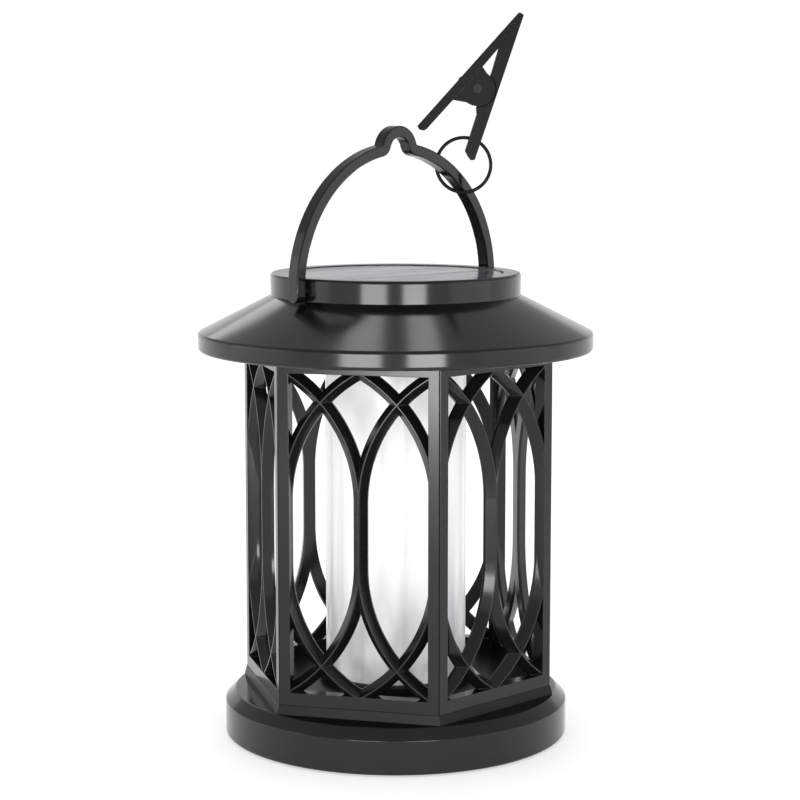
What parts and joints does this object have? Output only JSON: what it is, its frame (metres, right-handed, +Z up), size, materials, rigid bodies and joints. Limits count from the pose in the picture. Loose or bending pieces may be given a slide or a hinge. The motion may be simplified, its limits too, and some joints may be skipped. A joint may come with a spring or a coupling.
{
  "type": "solar garden lantern",
  "caption": "Outdoor solar lantern: round chamfered base, hexagonal lattice cage around a frosted tube, conical roof with a round solar panel, arched handle, ring and spring clip.",
  "frame": {"origin": "on the ground under the lantern's axis, at the rubber feet's underside", "axes": "+Z up along the lantern's axis; +X along the handle's pivot axis, towards the side where the ring hangs on the handle; +Y completes the right-handed frame"},
  "size_m": [0.11, 0.11, 0.2018],
  "materials": {
    "rubber": "matt black rubber",
    "charcoal_plastic": "satin-gloss moulded charcoal plastic",
    "screw_steel": "plain steel",
    "seat_plastic": "matt black plastic",
    "frosted_tube": "frosted near-white acrylic",
    "foam_seal": "black foam",
    "panel_backing": "white laminate",
    "solar_cell": "dark blue-violet silicon",
    "panel_cover": "clear glossy cover with a lavender sheen",
    "switch_housing": "matt black plastic",
    "button_rubber": "black rubbery plastic",
    "circuit_board": "green solder mask",
    "led_epoxy": "clear epoxy",
    "component_black": "black component bodies",
    "holder_plastic": "matt black plastic",
    "battery_sleeve": "plain coloured sleeve",
    "contact_metal": "nickel-plated steel",
    "red_wire": "red insulation",
    "black_wire": "black insulation",
    "black_ring": "black-coated wire",
    "clip_plastic": "satin near-black plastic",
    "pin_steel": "plain steel"
  },
  "bodies": {
    "base": {"rubber_feet": "rubber", "bottom_cover": "charcoal_plastic", "base_shell": "charcoal_plastic", "cover_screws": "screw_steel", "plinth_screws": "screw_steel", "plinth": "charcoal_plastic", "tube_seat": "seat_plastic", "light_tube": "frosted_tube", "lattice_panel_1": "charcoal_plastic", "lattice_panel_2": "charcoal_plastic", "lattice_panel_3": "charcoal_plastic", "lattice_panel_4": "charcoal_plastic", "lattice_panel_5": "charcoal_plastic", "lattice_panel_6": "charcoal_plastic", "cage_top_ring": "charcoal_plastic"},
    "head": {"roof_shell": "charcoal_plastic", "top_cap": "charcoal_plastic", "panel_seal": "foam_seal", "solar_board": "panel_backing", "solar_cells": "solar_cell", "solar_cover": "panel_cover", "under_plate": "charcoal_plastic", "roof_screws": "screw_steel", "switch_body": "switch_housing", "led_board": "circuit_board", "led": "led_epoxy", "control_board": "circuit_board", "board_components": "component_black", "battery_holder": "holder_plastic", "battery": "battery_sleeve", "plus_contact": "contact_metal", "battery_spring": "contact_metal", "red_wires": "red_wire", "black_wires": "black_wire"},
    "button": {"switch_button": "button_rubber"},
    "handle": {"handle": "charcoal_plastic"},
    "ring": {"ring": "black_ring"},
    "clip": {"clip_lever_broad": "clip_plastic", "clip_pin": "pin_steel", "clip_spring": "pin_steel"},
    "clip_slim": {"clip_lever_slim": "clip_plastic"}
  },
  "joints": [
    {"name": "head_twist", "type": "hinge", "parent": "base", "child": "head", "pos_m": [0, 0, 0], "axis": [0, 0, 1], "range_deg": [0, 30]},
    {"name": "switch_press", "type": "slide", "parent": "head", "child": "button", "axis": [0, 0, 1], "range_m": [0, 0.0005], "stiffness_N_per_m": 400, "springref_m": -0.002},
    {"name": "handle_pivot", "type": "hinge", "parent": "head", "child": "handle", "pos_m": [0, 0, 0.127], "axis": [1, 0, 0], "range_deg": [-60, 60]},
    {"name": "ring_swing", "type": "hinge", "parent": "handle", "child": "ring", "pos_m": [0.0224, 0, 0.15676], "axis": [0.799, 0, -0.6013], "range_deg": [-15, 45]},
    {"name": "clip_swing", "type": "hinge", "parent": "ring", "child": "clip", "pos_m": [0.02698, -0.00458, 0.16641], "axis": [0.648, -0.648, -0.4001], "range_deg": [-30, 30]},
    {"name": "clip_squeeze", "type": "hinge", "parent": "clip", "child": "clip_slim", "pos_m": [0.02754, -0.00514, 0.18078], "axis": [-0.7071, -0.7071, 0], "range_deg": [0, 18], "stiffness_Nm_per_rad": 0.06, "springref_deg": -28.65}
  ]
}
